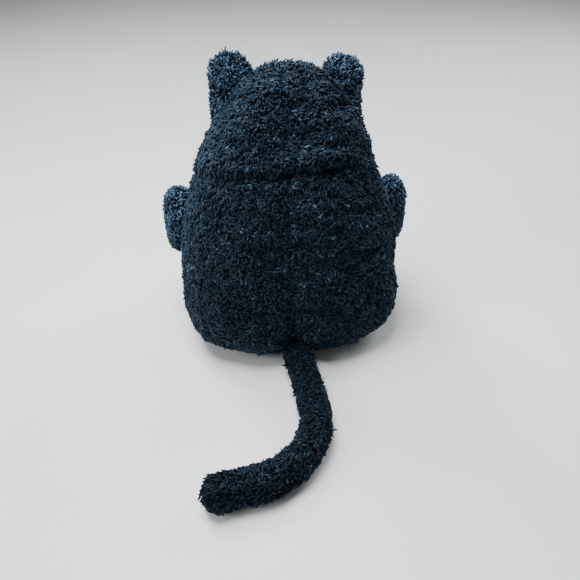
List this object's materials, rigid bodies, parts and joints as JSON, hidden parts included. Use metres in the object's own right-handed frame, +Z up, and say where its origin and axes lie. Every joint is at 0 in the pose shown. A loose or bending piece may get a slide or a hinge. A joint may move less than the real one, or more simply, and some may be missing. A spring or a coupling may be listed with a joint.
{
  "type": "plush cat",
  "caption": "Sitting stuffed toy cat with curly pile, weighted flat base, soft poseable head, ears, arms, legs and a tail curled on the floor behind it.",
  "frame": {"origin": "middle of the flat base, on the surface the cat sits on", "axes": "+Z up; the face looks along -Y and the tail leaves along +Y; the cat's own left is +X"},
  "size_m": [0.2338, 0.3401, 0.262],
  "materials": {
    "fur": "short dense curly pile, black with a blue cast",
    "belly_fur": "short dense curly pile, black with a blue cast",
    "face_fur": "short clipped pile, black",
    "sole_fabric": "short brushed plush",
    "ear_fabric": "short brushed plush",
    "base_fabric": "woven polyester",
    "filling": "polyester fibre",
    "bag_cloth": "thin woven cloth",
    "pellet": "loose plastic pellets",
    "washer_plastic": "moulded",
    "eye_plastic": "polished dome, dark pupil",
    "nose_plastic": "satin",
    "thread": "twisted embroidery thread"
  },
  "bodies": {
    "torso": {"body_back_left": "fur", "body_back_right": "fur", "body_front": "belly_fur", "base_panel": "base_fabric", "body_stuffing": "filling", "pellet_bag": "bag_cloth", "pellets": "pellet"},
    "head": {"head_back_left": "fur", "head_back_right": "fur", "face_panel": "face_fur", "head_stuffing": "filling", "muzzle": "face_fur", "nose": "nose_plastic", "nose_washer": "washer_plastic", "mouth_stitching": "thread", "eye_left": "eye_plastic", "eye_right": "eye_plastic", "eye_washer_left": "washer_plastic", "eye_washer_right": "washer_plastic"},
    "ear_left": {"ear_back_left": "fur", "ear_lining_left": "ear_fabric", "ear_stuffing_left": "filling"},
    "arm_left": {"arm_outer_left": "fur", "arm_inner_left": "fur", "arm_stuffing_left": "filling"},
    "leg_left": {"leg_skin_left": "fur", "sole_left": "sole_fabric", "leg_stuffing_left": "filling"},
    "ear_right": {"ear_back_right": "fur", "ear_lining_right": "ear_fabric", "ear_stuffing_right": "filling"},
    "arm_right": {"arm_outer_right": "fur", "arm_inner_right": "fur", "arm_stuffing_right": "filling"},
    "leg_right": {"leg_skin_right": "fur", "sole_right": "sole_fabric", "leg_stuffing_right": "filling"},
    "tail_root": {"tail_root_skin": "fur", "tail_root_stuffing": "filling"},
    "tail_mid": {"tail_mid_skin": "fur", "tail_mid_stuffing": "filling"},
    "tail_bend": {"tail_bend_upper": "fur", "tail_bend_under": "fur", "tail_bend_stuffing": "filling"},
    "tail_tip": {"tail_tip_upper": "fur", "tail_tip_under": "fur", "tail_tip_stuffing": "filling"}
  },
  "joints": [
    {"name": "head_nod", "type": "hinge", "parent": "torso", "child": "head", "pos_m": [0, -0.008, 0.196], "axis": [1, 0, 0], "range_deg": [-10, 10], "stiffness_Nm_per_rad": 1.5},
    {"name": "ear_left_flex", "type": "hinge", "parent": "head", "child": "ear_left", "pos_m": [0.046, -0.009, 0.2335], "axis": [0.766, 0, -0.6428], "range_deg": [-25, 25], "stiffness_Nm_per_rad": 0.03},
    {"name": "ear_right_flex", "type": "hinge", "parent": "head", "child": "ear_right", "pos_m": [-0.046, -0.009, 0.2335], "axis": [0.766, 0, 0.6428], "range_deg": [-25, 25], "stiffness_Nm_per_rad": 0.03},
    {"name": "arm_left_swing", "type": "hinge", "parent": "torso", "child": "arm_left", "pos_m": [0.099, -0.014, 0.128], "axis": [0.9945, 0, 0.1045], "range_deg": [-60, 10], "stiffness_Nm_per_rad": 0.06},
    {"name": "arm_right_swing", "type": "hinge", "parent": "torso", "child": "arm_right", "pos_m": [-0.099, -0.014, 0.128], "axis": [0.9945, 0, -0.1045], "range_deg": [-60, 10], "stiffness_Nm_per_rad": 0.06},
    {"name": "leg_left_lift", "type": "hinge", "parent": "torso", "child": "leg_left", "pos_m": [0.046, -0.048, 0.027], "axis": [0.9781, 0.2079, 0], "range_deg": [-25, 0], "stiffness_Nm_per_rad": 0.1},
    {"name": "leg_right_lift", "type": "hinge", "parent": "torso", "child": "leg_right", "pos_m": [-0.046, -0.048, 0.027], "axis": [0.9781, -0.2079, 0], "range_deg": [-25, 0], "stiffness_Nm_per_rad": 0.1},
    {"name": "tail_root_lift", "type": "hinge", "parent": "torso", "child": "tail_root", "pos_m": [-0.002, 0.066, 0.014], "axis": [0.9903, 0.1392, 0], "range_deg": [0, 25], "stiffness_Nm_per_rad": 0.1},
    {"name": "tail_mid_sweep", "type": "hinge", "parent": "tail_root", "child": "tail_mid", "pos_m": [-0.00701, 0.10165, 0.014], "axis": [0, 0, 1], "range_deg": [-25, 30], "stiffness_Nm_per_rad": 0.06},
    {"name": "tail_bend_sweep", "type": "hinge", "parent": "tail_mid", "child": "tail_bend", "pos_m": [-0.01202, 0.1373, 0.014], "axis": [0, 0, 1], "range_deg": [-20, 30], "stiffness_Nm_per_rad": 0.05},
    {"name": "tail_tip_sweep", "type": "hinge", "parent": "tail_bend", "child": "tail_tip", "pos_m": [-0.00078, 0.18237, 0.014], "axis": [0, 0, 1], "range_deg": [-25, 40], "stiffness_Nm_per_rad": 0.04}
  ]
}
